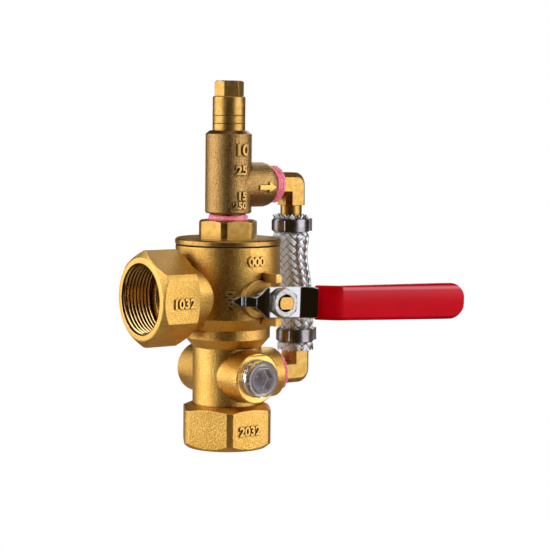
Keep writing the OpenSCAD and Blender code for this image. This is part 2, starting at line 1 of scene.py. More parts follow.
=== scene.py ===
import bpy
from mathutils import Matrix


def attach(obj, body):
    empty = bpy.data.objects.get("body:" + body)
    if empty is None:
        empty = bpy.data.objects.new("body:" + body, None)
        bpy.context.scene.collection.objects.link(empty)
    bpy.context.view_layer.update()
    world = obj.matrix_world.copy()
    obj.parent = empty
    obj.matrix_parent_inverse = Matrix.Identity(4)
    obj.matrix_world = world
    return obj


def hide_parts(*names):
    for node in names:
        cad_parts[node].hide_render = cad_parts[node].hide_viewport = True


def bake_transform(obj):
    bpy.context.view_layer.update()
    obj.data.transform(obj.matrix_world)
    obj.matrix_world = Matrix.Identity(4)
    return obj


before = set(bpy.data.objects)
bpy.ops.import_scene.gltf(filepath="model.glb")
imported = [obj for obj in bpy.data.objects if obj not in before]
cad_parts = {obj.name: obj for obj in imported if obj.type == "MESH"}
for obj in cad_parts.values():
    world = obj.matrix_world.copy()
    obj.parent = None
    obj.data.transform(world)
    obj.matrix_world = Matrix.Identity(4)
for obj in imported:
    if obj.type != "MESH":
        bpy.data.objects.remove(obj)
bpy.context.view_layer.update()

# The camera stands where the photographer's did: to the left of the lever, a little
# above the valve and tipped down by five degrees, with a long lens.
import bpy
from math import cos, exp, pi, radians, sin, sqrt, tan
from mathutils import Matrix, Vector, noise

scene = bpy.context.scene
scene.view_settings.view_transform = "Standard"
stand_azimuth = radians(-34.149)
stand_off = 1.110
stand_height = 0.20096
look_azimuth = radians(-35.604)
tip = radians(5.049)
roll = radians(0.595)
ahead = Vector((-sin(look_azimuth) * cos(tip), cos(look_azimuth) * cos(tip), -sin(tip)))
level = Vector((cos(look_azimuth), sin(look_azimuth), 0))
upright = level.cross(ahead)
to_right = level * cos(roll) + upright * sin(roll)
to_top = upright * cos(roll) - level * sin(roll)
lens = bpy.data.cameras.new("camera")
lens.sensor_width = 36
lens.lens = 122.26
lens.clip_start = 0.05
camera = bpy.data.objects.new("camera", lens)
turn = Matrix((to_right, to_top, -ahead)).transposed().to_4x4()
place = Vector((sin(stand_azimuth) * stand_off, -cos(stand_azimuth) * stand_off,
                stand_height))
camera.matrix_world = Matrix.Translation(place) @ turn
scene.collection.objects.link(camera)
scene.camera = camera


# The studio: a white paper floor and backdrop, a tall soft box on the left and one on
# the right, one overhead and a weak one behind. Between the two tall ones the room is
# dim and warm, which gives the metal its dark middles.
class Value:
    """A number in a shader. Arithmetic with it adds Math nodes."""

    def __init__(self, nodes, socket):
        self.nodes, self.socket = nodes, socket

    def _do(self, operation, *values, clamp=False):
        settings = {"operation": operation, "use_clamp": clamp}
        node = self.nodes.add("ShaderNodeMath", settings, dict(enumerate(values)))
        return Value(self.nodes, node.outputs[0])

    def __add__(self, other):
        return self._do("ADD", self, other)

    def __radd__(self, other):
        return self._do("ADD", other, self)

    def __sub__(self, other):
        return self._do("SUBTRACT", self, other)

    def __rsub__(self, other):
        return self._do("SUBTRACT", other, self)

    def __mul__(self, other):
        return self._do("MULTIPLY", self, other)

    def __rmul__(self, other):
        return self._do("MULTIPLY", other, self)

    def __neg__(self):
        return self._do("MULTIPLY", self, -1.0)

    def absolute(self):
        return self._do("ABSOLUTE", self)

    def clamp(self):
        return self._do("ADD", self, 0.0, clamp=True)

    def rise(self, low, high):
        """0 below low, 1 above high, smooth between."""
        node = self.nodes.add("ShaderNodeMapRange", {"interpolation_type": "SMOOTHSTEP"},
                              {"Value": self, "From Min": low, "From Max": high})
        return Value(self.nodes, node.outputs["Result"])


class Nodes:
    """The nodes of one material or of the room."""

    def __init__(self, tree):
        self.tree = tree

    def feed(self, slot, value):
        """Links a value to a socket, or sets the socket to it."""
        if isinstance(value, Value):
            value = value.socket
        if isinstance(value, bpy.types.NodeSocket):
            self.tree.links.new(value, slot)
        elif slot.type == "RGBA" and len(value) == 3:
            slot.default_value = (*value, 1.0)
        else:
            slot.default_value = value

    def add(self, kind, settings, sockets):
        """A new node. Its sockets are given by their place or by their name."""
        node = self.tree.nodes.new(kind)
        for key, value in settings.items():
            setattr(node, key, value)
        for key, value in sockets.items():
            self.feed(node.inputs[key], value)
        return node


class Finish(Nodes):
    """A material under construction on one principled shader."""

    def __init__(self, name, **sockets):
        self.made = bpy.data.materials.new(name)
        self.made.use_nodes = True
        super().__init__(self.made.node_tree)
        self.shader = self.tree.nodes["Principled BSDF"]
        self.set(**sockets)
        self.place = self.add("ShaderNodeTexCoord", {}, {}).outputs["Object"]
        parts = self.add("ShaderNodeSeparateXYZ", {}, {"Vector": self.place})
        self.x, self.y, self.z = (Value(self, one) for one in parts.outputs)

    def set(self, **sockets):
        """The shader's own sockets."""
        for key, value in sockets.items():
            self.feed(self.shader.inputs[key.replace("_", " ")], value)

    def stretched(self, *by):
        """The place with each axis drawn out, for grain that runs one way."""
        node = self.add("ShaderNodeVectorMath", {"operation": "MULTIPLY"}, {0: self.place, 1: by})
        return node.outputs[0]

    def noise(self, scale, detail=2.0, rough=0.5, at=None, twist=0.0):
        node = self.add("ShaderNodeTexNoise", {}, {
            "Vector": at or self.place, "Scale": scale, "Detail": detail, "Roughness": rough,
            "Distortion": twist})
        return Value(self, node.outputs["Fac"])

    def cells(self, scale):
        """How far the nearest of many scattered points is."""
        node = self.add("ShaderNodeTexVoronoi", {"feature": "F1"},
                        {"Vector": self.place, "Scale": scale})
        return Value(self, node.outputs["Distance"])

    def mix(self, amount, one, other):
        """The first colour where the amount is 0, the second where it is 1."""
        node = self.add("ShaderNodeMix", {"data_type": "RGBA"}, {0: amount, 6: one, 7: other})
        return node.outputs[2]

    def soft_edges(self, radius, samples=6):
        """The surface's direction with its edges rounded off, and how near an edge is."""
        soft = self.add("ShaderNodeBevel", {"samples": samples}, {"Radius": radius}).outputs[0]
        real = self.add("ShaderNodeNewGeometry", {}, {}).outputs["Normal"]
        dot = self.add("ShaderNodeVectorMath", {"operation": "DOT_PRODUCT"}, {0: soft, 1: real})
        near = (1.0 - Value(self, dot.outputs["Value"])) * 5.0
        return soft, near.clamp()

    def hollows(self, reach):
        """1 in the open, falling to 0 in corners and crevices."""
        node = self.add("ShaderNodeAmbientOcclusion", {"samples": 6}, {"Distance": reach})
        return Value(self, node.outputs["AO"])

    def bump(self, height, depth, normal=None):
        """The surface's direction with fine relief on it, depth deep where height is 1."""
        sockets = {"Strength": 1.0, "Height": height, "Distance": depth}
        if normal:
            sockets["Normal"] = normal
        return self.add("ShaderNodeBump", {}, sockets).outputs["Normal"]


def white_to_the_eye(nodes, lit, glow, end):
    """The camera sees plain white. Everything else sees what is lit."""
    rays = nodes.add("ShaderNodeLightPath", {}, {})
    white = nodes.add(glow, {}, {"Color": (1.0, 1.0, 1.0), "Strength": 1.0})
    both = nodes.add("ShaderNodeMixShader", {}, {
        0: rays.outputs["Is Camera Ray"], 1: lit.outputs[0], 2: white.outputs[0]})
    nodes.feed(nodes.tree.nodes[end].inputs[0], both.outputs[0])


paper = Finish("paper", Roughness=0.9, Specular_IOR_Level=0.2)
fibre = paper.noise(900.0, 4.0)
paper.set(Base_Color=paper.mix(fibre, (0.50, 0.405, 0.275), (0.575, 0.47, 0.32)),
          Normal=paper.bump(fibre, 0.00005))
white_to_the_eye(paper, paper.shader, "ShaderNodeEmission", "Material Output")
sweep = bpy.data.meshes.new("floor")
front, back, bend, top = 0.17, 1.5, 0.5, 2.0
narrow, wide, widens = 0.17, 3.0, 0.45
low = -0.046  # the lever hangs this far below the drain port when it is turned down
run = [(-front, low, narrow), (front, low, narrow), (widens, low, wide)]
run += [(back + bend * sin(a), low + bend - bend * cos(a), wide)
        for a in [pi / 2 * i / 10 for i in range(11)]] + [(back + bend, top, wide)]
across = Vector((cos(look_azimuth), sin(look_azimuth), 0))
away = Vector((-sin(look_azimuth), cos(look_azimuth), 0))
spots = [across * side + away * d + Vector((0, 0, h)) for d, h, half in run
         for side in (-half, half)]
sweep.from_pydata([tuple(one) for one in spots], [],
                  [(2 * i, 2 * i + 1, 2 * i + 3, 2 * i + 2) for i in range(len(run) - 1)])
sweep.polygons.foreach_set("use_smooth", [True] * len(sweep.polygons))
floor = bpy.data.objects.new("floor", sweep)
floor.data.materials.append(paper.made)
scene.collection.objects.link(floor)

room = bpy.data.worlds.new("room")
room.use_nodes = True
scene.world = room
walls = Nodes(room.node_tree)
wall = walls.tree.nodes["Background"]
walls.feed(wall.inputs["Color"], (1.0, 0.55, 0.15))
walls.feed(wall.inputs["Strength"], 0.042)
white_to_the_eye(walls, wall, "ShaderNodeBackground", "World Output")


def soft_box(name, azimuth, height, away_from, size, power, tint):
    """A rectangular light aimed at the valve, its azimuth counted from the camera's."""
    made = bpy.data.lights.new(name, "AREA")
    made.shape = "RECTANGLE"
    made.size, made.size_y = size
    made.energy = power
    made.color = tint
    lamp = bpy.data.objects.new(name, made)
    turned = stand_azimuth + radians(azimuth)
    spot = Vector((sin(turned) * away_from, -cos(turned) * away_from, height))
    aim = Vector((0, 0, 0.10))
    facing = (aim - spot).to_track_quat("-Z", "Y")
    lamp.matrix_world = Matrix.Translation(spot) @ facing.to_matrix().to_4x4()
    scene.collection.objects.link(lamp)


soft_box("left_box", -81, 0.34, 0.95, (1.40, 1.4), 12.6, (1.0, 0.98, 0.94))
soft_box("right_box", 71, 0.36, 0.95, (0.96, 1.4), 8.6, (1.0, 0.98, 0.95))
soft_box("top_box", 20, 1.25, 0.35, (0.8, 0.8), 1.3, (1.0, 0.98, 0.96))
soft_box("rim_box", 165, 0.5, 1.0, (0.4, 0.9), 2.0, (1.0, 0.98, 0.95))


# Valve body: one brass casting, blasted to a fine even grain, then bored, threaded and
# faced. Its port mouths and boss faces are machined and smoother than the rest.
def dress(made, *names):
    """Gives the finish to CAD nodes."""
    for name in names:
        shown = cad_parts[name]
        if not shown.data.materials:
            shown.data.materials.append(made)
        for slot in shown.material_slots:
            slot.material = made


stem_height, plug_height = 0.091, 0.0443  # of their axes; the test port shares the stem's
cast = Finish("cast_brass", Metallic=1.0)
patches = cast.noise(60.0, 3.0)
mottle = cast.noise(1250.0, 3.0, 0.65)
grain = cast.noise(1900.0, 2.0, 0.6)
pits = cast.cells(1100.0)
soft, edges = cast.soft_edges(0.0006)
out_of_shade = cast.hollows(0.010)
# Machined places: the faces of the test port and of three bosses, the port's bore and the
# seats of the sight plugs. The last two go by the square of the distance from an axis.
port_face = (-cast.x).rise(0.0607, 0.0609)
hose_face = cast.x.rise(0.0326, 0.0328)
plug_faces = cast.y.absolute().rise(0.0316, 0.0318) * (0.058 - cast.z).rise(0.0, 0.001)
from_port = cast.z - stem_height
bored = (cast.y * cast.y + from_port * from_port).rise(0.000470, 0.000462) * \
    (-0.036 - cast.x).rise(0.0, 0.001)
from_plug = cast.z - plug_height
seated = (cast.x * cast.x + from_plug * from_plug).rise(0.000166, 0.000162) * \
    cast.y.absolute().rise(0.020, 0.021)
faced = (port_face + plug_faces + hose_face + bored + seated).clamp()
tone = (mottle * 0.9 + patches * 0.3 + grain * 0.5 - 0.35).rise(0.33, 0.67)
tone = tone * (1.0 - faced * 0.6) + faced * 0.4
colour = cast.mix(tone, (0.68, 0.370, 0.066), (0.93, 0.605, 0.182))
# Edges are painted lighter: a painted highlight.
colour = cast.mix(edges * 0.85, colour, (1.0, 0.84, 0.44))
# Corners, recesses and places under other parts are painted darker: painted shade.
colour = cast.mix(out_of_shade.rise(0.0, 0.55), (0.36, 0.15, 0.022), colour)
# Narrow crevices, beside the numerals and in creases, are painted near black: painted shade.
# Machined faces are left out.
out_of_fine_shade = cast.hollows(0.0016).rise(0.40, 0.92) + faced
colour = cast.mix(out_of_fine_shade.clamp(), (0.06, 0.020, 0.003), colour)
height = grain * 0.5 + pits * 0.45 + mottle * 1.0
cast.set(Base_Color=colour,
         Roughness=0.245 + mottle * 0.11 - edges * 0.05 - faced * 0.02,
         Normal=cast.bump(height * (1.0 - faced * 0.85), 0.00022, soft))
dress(cast.made, "valve_body")


# Threads of the two ports: the 1 1/4 inch pipe thread, cut 11 to the inch, its first
# turns taken away by the countersink at the mouth.
def new_piece(name, spots, faces, made, body, kind, smooth=True):
    """A mesh piece that rides on a body of the CAD model."""
    mesh = bpy.data.meshes.new(name)
    mesh.from_pydata([tuple(one) for one in spots], [], faces)
    mesh.validate()
    mesh.polygons.foreach_set("use_smooth", [smooth] * len(mesh.polygons))
    mesh.materials.append(made)
    piece = bpy.data.objects.new(name, mesh)
    scene.collection.objects.link(piece)
    if body:
        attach(piece, body)
    return piece


def pipe_thread(name, to_place):
    """The ridges of a female thread, from its mouth inwards."""
    pitch, root, crest, depth = 0.002309, 0.02088, 0.0195, 0.0197
    flat, flank, countersink = 0.16, 0.70, 0.62
    around, per_turn = 120, 10
    rows = int(depth / pitch + 2) * per_turn
    spots = []
    for i in range(rows):
        for k in range(around):
            along = min(max((i / per_turn + k / around - 1) * pitch, 0.0), depth)
            phase = (along / pitch - k / around) % 1.0
            ridge = min(max((1.0 - abs(2.0 * phase - 1.0) - flat) / flank, 0.0), 1.0)
            mouth = root - along * countersink
            r = max(root - (root - crest) * ridge, mouth)
            a = 2 * pi * k / around
            spots.append(to_place(Vector((r * cos(a), r * sin(a), along))))
    faces = [(i * around + k, i * around + (k + 1) % around,
              (i + 1) * around + (k + 1) % around, (i + 1) * around + k)
             for i in range(rows - 1) for k in range(around - 1)]
    faces += [(i * around + around - 1, (i + 1) * around,
               (i + 2) * around, (i + 1) * around + around - 1) for i in range(rows - 2)]
    new_piece(name, spots, faces, threaded.made, "valve", "turned_brass")


threaded = Finish("threaded_brass", Metallic=1.0)
scores = threaded.noise(3000.0, 2.0)
down = threaded.z - stem_height
on_test = (-0.03 - threaded.x).rise(0.0, 0.001)
out_sq = threaded.y * threaded.y + threaded.x * threaded.x * (1.0 - on_test) + \
    down * down * on_test  # the square of the distance from the port's axis
# The thread's crests are painted light as a painted highlight, and its roots near black as
# painted shade.
threaded.set(Base_Color=threaded.mix(out_sq.rise(0.000394, 0.000424), (1.0, 0.76, 0.36),
                                     (0.11, 0.034, 0.004)),
             Roughness=0.16 + scores * 0.08, Normal=threaded.bump(scores, 0.00002))
pipe_thread("drain_port_thread", lambda p: Vector((p.x, -p.y, p.z)))
pipe_thread("test_port_thread", lambda p: Vector((p.z - 0.061, p.y, p.x + stem_height)))


# Numerals raised on the casting where the real valve is marked: the lever's places and the ports.
# They are cast on and stand just under a millimetre proud; their edges carry a painted highlight.
def numeral(name, text, height, proud, kind, to_place):
    """Figures of a height, standing proud of a casting. kind is handed on but not used."""
    line = bpy.data.curves.new(name, "FONT")
    line.body = text
    line.align_x = "CENTER"
    line.align_y = "CENTER"
    line.size = height / 0.72  # a figure is 0.72 of the font's size
    line.extrude = proud
    line.bevel_depth = proud * 0.25
    line.bevel_resolution = 1
    line.resolution_u = 5
    line.offset = height * 0.03
    draft = bpy.data.objects.new(name + "_draft", line)
    scene.collection.objects.link(draft)
    bpy.context.view_layer.update()
    shape = draft.evaluated_get(bpy.context.evaluated_depsgraph_get()).to_mesh()
    spots = [to_place(*vertex.co) for vertex in shape.vertices]
    faces = [tuple(face.vertices) for face in shape.polygons]
    draft.evaluated_get(bpy.context.evaluated_depsgraph_get()).to_mesh_clear()
    bpy.data.objects.remove(draft)
    new_piece(name, spots, faces, marked.made, "valve", kind, smooth=False)


def around_z(r, azimuth, z, turned=0.0):
    """Onto a cylinder about the valve's axis; azimuth counts from the front to +X."""
    def put(u, v, w):
        u, v = u * cos(turned) - v * sin(turned), u * sin(turned) + v * cos(turned)
        a = radians(azimuth) + u / r
        return Vector(((r + w) * sin(a), -(r + w) * cos(a), z + v))
    return put


def on_front(x, y, z):
    """Onto a flat face that looks to the front."""
    return lambda u, v, w: Vector((x + u, y - w, z + v))


marked = Finish("cast_mark_brass", Metallic=1.0)
fine = marked.noise(1500.0, 2.0, 0.6)
soft, edges = marked.soft_edges(0.00018)
colour = marked.mix(fine.rise(0.3, 0.7), (0.62, 0.36, 0.085), (0.80, 0.52, 0.17))
dark_body = (0.0155 * 0.0155 - marked.x * marked.x - marked.y * marked.y) * \
    marked.z.rise(0.130, 0.132)
colour = marked.mix(dark_body.rise(0.0, 1e-6), colour, (0.50, 0.32, 0.11))
# Edges are painted lighter: a painted highlight.
colour = marked.mix(edges * 0.8, colour, (1.0, 0.78, 0.38))
# Where the figures meet the casting they are painted darker: painted shade.
marked.set(Base_Color=marked.mix(marked.hollows(0.0006).rise(0.25, 0.85), (0.10, 0.035, 0.006),
                                 colour),
           Roughness=0.30 + fine * 0.10, Normal=marked.bump(fine, 0.00003, soft))
for name, text, azimuth, z, lean in (("numeral_shut", "000", -2, 0.1125, 0.0),
                                     ("numeral_drain", "200", -31, 0.0905, pi / 2)):
    numeral(name, text, 0.0052, 0.0009, "cast_brass", around_z(0.0312, azimuth, z, lean))
for name, text, x, z in (("numeral_on_test_port", "1032", -0.0471, 0.0896),
                         ("numeral_on_drain_port", "2032", -0.0008, 0.0119)):
    numeral(name, text, 0.0054, 0.0008, "cast_brass", on_front(x, -0.0254, z))


# End cap: turned from brass bar and screwed into the top of the chamber, with fine rings
# from the tool. The gland nut, the orifice, the poppet and the button are turned like it.
turned = Finish("turned_brass", Metallic=1.0)
rings = turned.noise(900.0, 2.0, at=turned.stretched(0.25, 0.25, 6.0))
grain = turned.noise(2600.0, 2.0, 0.6)
mottle = turned.noise(300.0, 2.0)
soft, edges = turned.soft_edges(0.0005)
out_of_shade = turned.hollows(0.008)
colour = turned.mix(mottle.rise(0.3, 0.7), (0.465, 0.27, 0.061), (0.59, 0.37, 0.112))
# Edges are painted lighter as a painted highlight, and corners darker as painted shade.
colour = turned.mix(edges * 0.6, colour, (1.0, 0.78, 0.38))
colour = turned.mix(out_of_shade.rise(0.0, 0.6), (0.26, 0.11, 0.016), colour)
turned.set(Base_Color=colour, Roughness=0.27 + mottle * 0.10 + grain * 0.05,
           Normal=turned.bump(rings * 0.5 + grain * 0.7, 0.00006, soft))
dress(turned.made, "end_cap", "gland_nut", "test_orifice", "relief_poppet", "spring_button")


# Rubber parts: the gasket under the cap's disc, the poppet's seal, the ring around the
# adjusting cap and the hose's tube. They are moulded, black and a little dusty.
rubber = Finish("black_rubber", Roughness=0.62)
dust = rubber.noise(500.0, 4.0)
rubber.set(Base_Color=rubber.mix(dust.rise(0.45, 0.8), (0.012, 0.012, 0.013),
                                 (0.035, 0.034, 0.033)),
           Normal=rubber.bump(rubber.noise(2500.0), 0.00004))
dress(rubber.made, "end_cap_seal", "poppet_seal", "cap_oring", "hose_tube")


# Ball: brass, ground round and hard chromed, with a passage that turns a corner. It floats
# between three seats and shows only through the ports.
chromed = Finish("ball_chrome", Metallic=1.0)
hairlines = chromed.noise(1200.0, 3.0)
chromed.set(Base_Color=chromed.mix(hairlines, (0.60, 0.60, 0.61), (0.72, 0.72, 0.73)),
            Roughness=0.10 + hairlines * 0.10, Normal=chromed.bump(hairlines, 0.00001))
dress(chromed.made, "ball")


# Seats, thrust washer and stem packing: turned from white fluoroplastic, which slides
# without grease. The end cap and the gland nut press them home.
ptfe = Finish("white_ptfe", Roughness=0.42, Subsurface_Weight=0.15,
              Subsurface_Radius=(0.001, 0.001, 0.001))
cloud = ptfe.noise(260.0, 3.0)
ptfe.set(Base_Color=ptfe.mix(cloud, (0.80, 0.79, 0.75), (0.90, 0.89, 0.86)),
         Normal=ptfe.bump(cloud, 0.00003))
dress(ptfe.made, "seat_test_side", "seat_drain_side", "seat_top", "thrust_washer",
      "stem_packing")


# Stem: turned from drawn brass rod, with a tongue that turns the ball at its inner end and
# two milled flats at its outer end, where the lever sits.
stem = Finish("stem_brass", Metallic=1.0)
drawn = stem.noise(1500.0, 3.0, at=stem.stretched(6.0, 1.0, 0.5))
soft, edges = stem.soft_edges(0.0004)
above = stem.z - stem_height
rim = (stem.x * stem.x + above * above).rise(0.0000205, 0.0000225)
# Edges are painted lighter as a painted highlight, along with the drawn grain. Beyond 4.6 mm from
# its axis the stem is coloured nearly black.
colour = stem.mix(edges * 0.6 + drawn.rise(0.35, 0.65) * 0.45, (0.47, 0.25, 0.055),
                  (0.86, 0.57, 0.22))
stem.set(Base_Color=stem.mix(rim * 0.85, colour, (0.05, 0.026, 0.010)),
         Roughness=0.28 + drawn * 0.14, Normal=stem.bump(drawn, 0.00004, soft))
dress(stem.made, "stem")


# Lever: a pressed strap of stainless steel, polished bright on every side, its edges
# rolled over by the press. Where it is joggled it mirrors the dark between the lights,
# and its slants are painted dark as well: a painted dark reflection.
bright = Finish("lever_chrome", Metallic=1.0)
ripple = bright.noise(110.0, 1.0)
from_crown = bright.x - 0.006
crown = from_crown * from_crown * -7.2 - bright.x.rise(-0.0215, -0.0135) * 0.0056
scuffs = bright.noise(1400.0, 4.0, 0.7, at=bright.stretched(0.3, 1.0, 2.0))
soft, edges = bright.soft_edges(0.0014, 8)
# The slants beside the plate are painted dark, but not at their edges: a painted dark reflection.
painted_dark_slants = (bright.x.rise(0.0128, 0.0140) + bright.x.rise(-0.0105, -0.0120)).clamp()
colour = bright.mix(scuffs.rise(0.4, 0.9), (0.40, 0.42, 0.46), (0.32, 0.335, 0.37))
bright.set(Base_Color=bright.mix(painted_dark_slants * (1.0 - edges), colour, (0.23, 0.255, 0.32)),
           Roughness=0.04 + scuffs.rise(0.5, 0.9) * 0.08 + edges * 0.30,
           Normal=bright.bump(ripple * 0.00025 + crown + scuffs * 0.000004, 1.0, soft))
dress(bright.made, "lever")


# Stem nut and washer: zinc-plated steel, dull and faintly spangled. The nut clamps the
# lever on the two flats of the stem.
zinc = Finish("nut_zinc", Metallic=1.0)
flake = zinc.cells(700.0)
dull = zinc.noise(900.0, 3.0)
soft, edges = zinc.soft_edges(0.0007)
zinc.set(Base_Color=zinc.mix(flake.rise(0.2, 0.8), (0.36, 0.36, 0.37), (0.52, 0.52, 0.53)),
         Roughness=0.34 + dull * 0.12, Normal=zinc.bump(dull + flake * 0.4, 0.00004, soft))
dress(zinc.made, "stem_nut", "stem_washer")


# Grip: the end of the strap is dipped in red vinyl, which sets with full round edges, a
# thick lip at its mouth and a glossy skin. It follows the strap's joggle.
def tube_faces(rows, around, first=0, ends=True):
    """Faces around rows of places, from the place numbered first, with closed ends."""
    faces = []
    for i in range(rows - 1):
        one, other = first + i * around, first + (i + 1) * around
        for k in range(around):
            n = (k + 1) % around
            faces.append((one + k, one + n, other + n, other + k))
    if ends:
        faces.append(tuple(first + k for k in range(around))[::-1])
        faces.append(tuple(first + (rows - 1) * around + k for k in range(around)))
    return faces


def grip_mesh():
    """Rounded cross-sections along the strap, from the sleeve's mouth to its tip."""
    plate, parallel = 0.0534, 0.064  # how far out the strap lies before and past its joggle
    bends = (0.0136, 0.033)
    slope = (parallel - plate) / (bends[1] - bends[0])
    first, last, mouth_w, wide, half_t = 0.0226, 0.1298, 0.0100, 0.0109, 0.0031
    lip_length, lip_drop, end_round, corner = 0.0011, 0.20, 0.0026, 0.0024
    droop, soft_bend = radians(2), 0.0022
    count, crowding, corner_steps = 74, 1.35, 6
    spots = []
    for i in range(count + 1):
        x = first + (last - first) * (1 - (1 - i / count) ** crowding)
        past = min(max((x - bends[1] + soft_bend) / (2 * soft_bend), 0.0), 1.0)
        y = min(plate + (x - bends[0]) * slope, parallel)
        y -= slope * soft_bend * past * (1 - past)
        reach = (x - first) / (last - wide - first)
        half_w = mouth_w + (wide - mouth_w) * min(reach * 1.1, 1.0)
        gone = max(x - (last - wide), 0.0)
        half_w = max(min(half_w, sqrt(max(wide * wide - gone * gone, 0.0))), 0.0002)
        from_mouth = min((x - first) / lip_length, 1.0)
        lip = 1 - lip_drop + lip_drop * sqrt(max(1 - (1 - from_mouth) ** 2, 0.0))
        to_end = min((last - x) / end_round, 1.0)
        thick = max(half_t * lip * sqrt(max(1 - (1 - to_end) ** 2, 0.0)), 0.0001)
        round_off = min(corner, half_w, thick)
        for quarter in range(4):
            mid_u = (half_w - round_off) * (1 if quarter in (0, 3) else -1)
            mid_v = (thick - round_off) * (1 if quarter in (0, 1) else -1)
            for step in range(corner_steps + 1):
                a = pi / 2 * (quarter + step / corner_steps)
                u, v = mid_u + round_off * cos(a), mid_v + round_off * sin(a)
                spots.append(Vector((x * cos(droop) + u * sin(droop), -(y + v),
                                     stem_height - x * sin(droop) + u * cos(droop))))
    return spots, tube_faces(count + 1, 4 * (corner_steps + 1))


vinyl = Finish("grip_vinyl", Roughness=0.30, Coat_Roughness=0.16,
               Specular_IOR_Level=0.03, Subsurface_Weight=0.02,
               Subsurface_Radius=(0.002, 0.0004, 0.0003))
flow = vinyl.noise(70.0, 2.0, at=vinyl.stretched(0.35, 1.0, 1.0))
peel = vinyl.noise(1300.0, 2.0)
rub = vinyl.noise(350.0, 4.0, 0.7)
from_middle = vinyl.z - stem_height + vinyl.x * 0.035  # the grip droops 2 degrees
past_bend = vinyl.x.rise(0.0348, 0.0362)
# Before the bend, where the strap slopes, the vinyl is painted darker: painted shade.
colour = vinyl.mix(past_bend, (0.52, 0.0006, 0.0016), (0.76, 0.0010, 0.014))
colour = vinyl.mix(flow.rise(0.3, 0.7) * 0.5, colour, (0.90, 0.003, 0.022))
# A band along the top edge is painted pale: a painted sheen.
painted_sheen = from_middle.rise(-0.004, 0.0090) * (1.0 - from_middle.rise(0.0091, 0.0097))
painted_sheen = painted_sheen * painted_sheen * 0.25 + from_middle.rise(0.0070, 0.0082) * \
    (1.0 - from_middle.rise(0.0088, 0.0096)) * 0.75
painted_sheen = painted_sheen * past_bend
# The top and bottom edges are painted darker: painted shade.
sides = from_middle.absolute().rise(0.0096, 0.0104)
colour = vinyl.mix(sides * 0.6, colour, (0.16, 0.001, 0.002))
vinyl.set(Base_Color=vinyl.mix(painted_sheen * 0.85, colour, (1.0, 0.27, 0.33)),
          Coat_Weight=past_bend * 0.02,
          Roughness=0.28 + rub.rise(0.5, 0.85) * 0.16,
          Normal=vinyl.bump(flow * 4.0 + peel * 0.35, 0.00008))
spots, faces = grip_mesh()
grip = new_piece("dipped_grip", spots, faces, vinyl.made, "lever_and_ball", "grip_vinyl")
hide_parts("lever_grip")
dress(vinyl.made, "lever_grip")


# Sight plugs: clear moulded plastic, threaded into the neck's bosses and sealed, with a
# hexagon socket for the key. Light passes through both a little, to show the water; most of
# their look is painted light: painted highlights, painted shade and a painted glow.
def plug_mesh():
    """Rings from the middle of the plug's back, over its thread and face, to its socket."""
    back, face, out = 0.0201, 0.0385, 0.0110
    pitch, cut, around = 0.00165, 0.00045, 96
    start, stop, fading = 0.0206, face - 0.0024, 0.001
    skirt = [(0.0, back + 0.005), (0.0072, back + 0.005), (0.0074, back), (out - 0.0010, back)]
    shoulder = [(out - 0.0001, face - 0.0020), (out, face - 0.0018)]
    rim = [(out, face - 0.0014), (out - 0.0006, face - 0.0005), (0.0091, face - 0.0005),
           (0.0087, face - 0.0011), (0.0079, face)]
    socket = [(0.0067, face), (0.0062, face - 0.0006), (0.0060, face - 0.0060)]
    pit = [(0.0042, face - 0.0060), (0.0036, face - 0.0070), (0.0020, face - 0.0070)]
    six_sided = [cos(radians((360.0 * k / around) % 60 - 30)) for k in range(around)]
    rings = [[one] * around for one in skirt]
    steps = int((stop - start) / pitch * 6)
    for i in range(steps + 1):
        s = start + (stop - start) * i / steps
        fade = min((s - start) / fading, (stop - s) / fading, 1.0)
        waves = [0.5 + 0.5 * cos(2 * pi * (s / pitch - k / around)) for k in range(around)]
        rings.append([(out - 0.0001 - cut * fade * (1 - wave) ** 1.5, s) for wave in waves])
    rings += [[one] * around for one in shoulder]
    for one in rim:  # these edges are sharp, so each ring stands twice
        rings += [[one] * around] * 2
    for r, s in socket:
        rings += [[(r / flat, s) for flat in six_sided]] * 2
    for one in pit:
        rings += [[one] * around] * 2
    rings.append([(0.0, face - 0.0080)] * around)
    turns = [2 * pi * k / around for k in range(around)]
    spots = [(r * cos(a), r * sin(a), s) for ring in rings for a, (r, s) in zip(turns, ring)]
    return spots, tube_faces(len(rings), around, ends=False)


clear = Finish("plug_clear", Transmission_Weight=0.2, IOR=1.49, Coat_Weight=1.0,
               Coat_IOR=1.8, Coat_Roughness=0.03)
haze = clear.noise(900.0, 3.0)
flow = clear.noise(160.0, 2.0, twist=1.6)
soft, edges = clear.soft_edges(0.00045)
deep = clear.hollows(0.0045).rise(0.20, 0.95)
high = clear.z - plug_height
out_sq = clear.x * clear.x + high * high
lit_side = clear.x.rise(0.0045, -0.0045)
boss_side = lit_side * out_sq.rise(95e-6, 100e-6)
# On the lit side the plug's outer ring is painted near white: a painted highlight.
colour = clear.mix(lit_side * out_sq.rise(84e-6, 87e-6), (0.40, 0.38, 0.45), (1.0, 0.97, 0.99))
# On the lit side a ring inside it is painted dark as painted shade, and streaks over the boss as
# painted dark reflections.
painted_dark_groove = out_sq.rise(60e-6, 63e-6) * (1.0 - out_sq.rise(83e-6, 86e-6)) * lit_side
painted_dark_streak = flow.rise(0.52, 0.56) * boss_side
colour = clear.mix((painted_dark_groove * 0.85 + painted_dark_streak * 0.7).clamp(), colour, (0.10, 0.075, 0.08))
# In the socket the walls are painted light against their shade and the floor is painted dark:
# painted light and painted shade.
floor_of = (1.0 - out_sq.rise(15e-6, 18e-6)) * flow.rise(0.62, 0.55)
socket = clear.mix(floor_of, (1.0, 0.90, 0.86), (0.34, 0.24, 0.21))
colour = clear.mix(deep, socket, colour)
